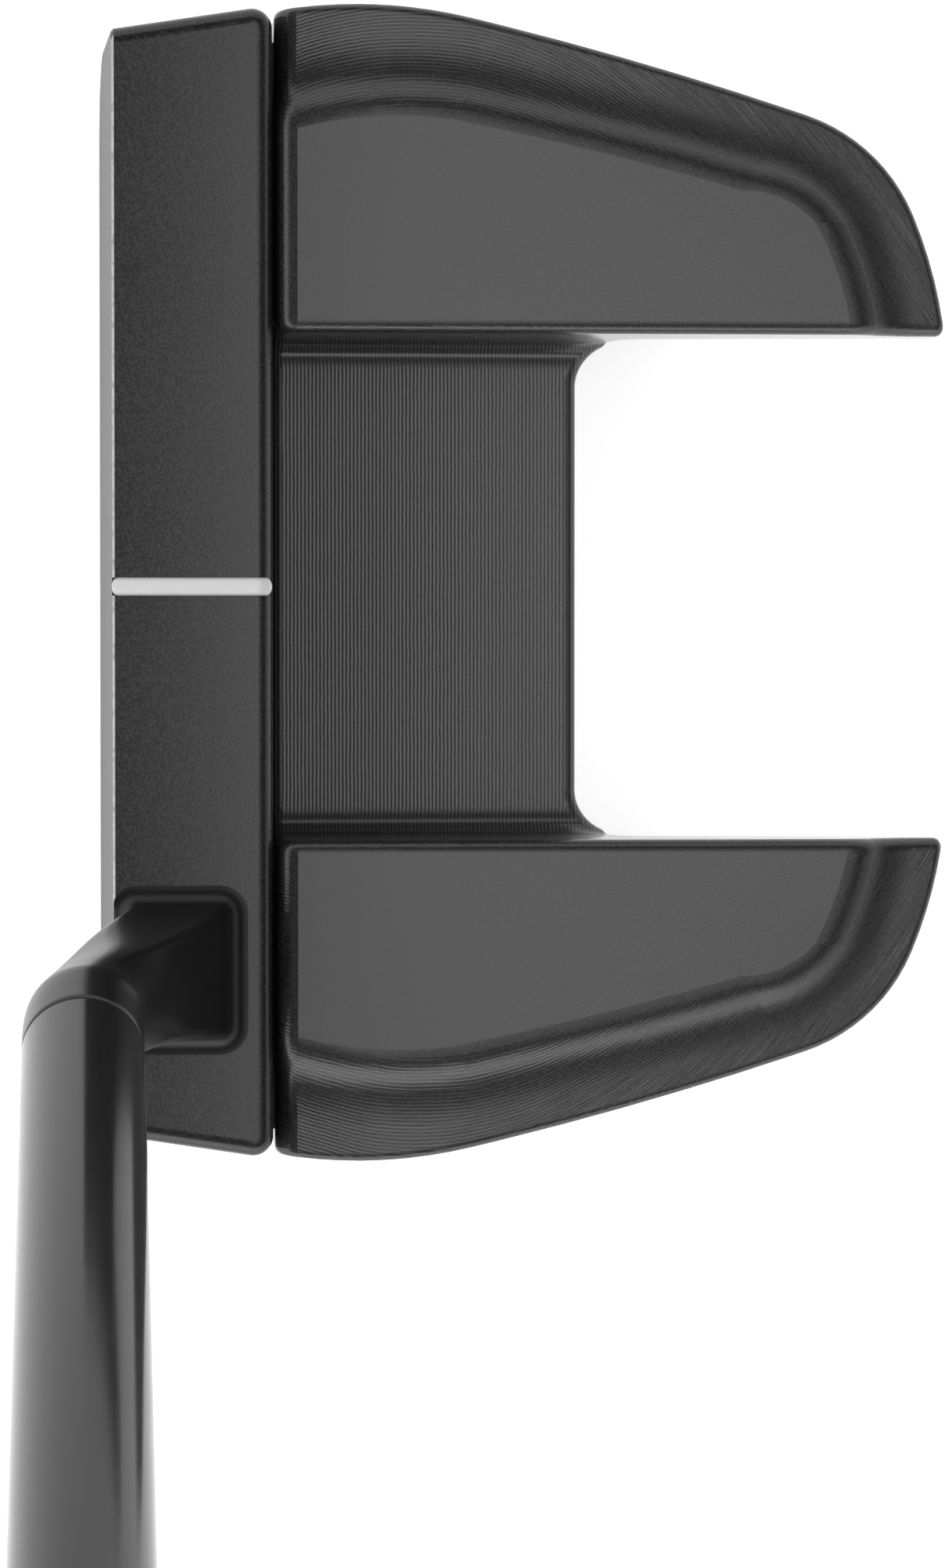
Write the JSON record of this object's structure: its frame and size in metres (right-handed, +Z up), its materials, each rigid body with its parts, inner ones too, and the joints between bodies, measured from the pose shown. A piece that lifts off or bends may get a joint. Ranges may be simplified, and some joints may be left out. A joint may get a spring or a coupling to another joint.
{
  "type": "mallet putter",
  "caption": "Black mallet putter with a straight face bar, swept wings either side of an open channel, a forward-leaning neck, a slim steel shaft and a pistol grip.",
  "frame": {"origin": "centre of the flat sole face, below the sight line", "axes": "+X from the face to the back of the head, +Y from the heel to the toe, +Z up with the club soled at address; the shaft leans towards -Y"},
  "size_m": [0.0891, 0.3717, 0.8164],
  "materials": {
    "bar_black": "bead-blasted satin black coat on machined steel",
    "flange_black": "bead-blasted black anodised aluminium with fine milling lines",
    "neck_black": "smooth satin black coat on steel",
    "shaft_black": "gloss black coat on steel tube",
    "line_paint": "white fill paint",
    "gasket_rubber": "thin black rubber sheet",
    "screw_steel": "black oxide socket screws",
    "pin_steel": "ground steel",
    "plate_aluminium": "brushed black anodised plate",
    "weight_steel": "turned stainless steel",
    "ring_rubber": "black nitrile rubber",
    "epoxy": "cured epoxy",
    "tape": "double-sided paper tape",
    "grip_foam": "dense black foam rubber",
    "grip_skin": "tacky polyurethane skin with a fine embossed pattern",
    "grip_trim": "smooth moulded rubber"
  },
  "bodies": {
    "root": {"face_bar": "bar_black", "wing_flange": "flange_black", "neck": "neck_black", "shaft": "shaft_black", "sight_line": "line_paint", "damping_gasket": "gasket_rubber", "flange_screws": "screw_steel", "sole_plate_screws": "screw_steel", "neck_screw": "screw_steel", "dowel_pins": "pin_steel", "sole_plate": "plate_aluminium", "heel_weight": "weight_steel", "toe_weight": "weight_steel", "weight_inserts": "pin_steel", "weight_o_rings": "ring_rubber", "shaft_epoxy": "epoxy", "grip_tape": "tape", "grip_underlisting": "grip_foam", "grip_wrap": "grip_skin", "grip_collar": "grip_trim", "grip_cap": "grip_trim"}
  },
  "joints": []
}
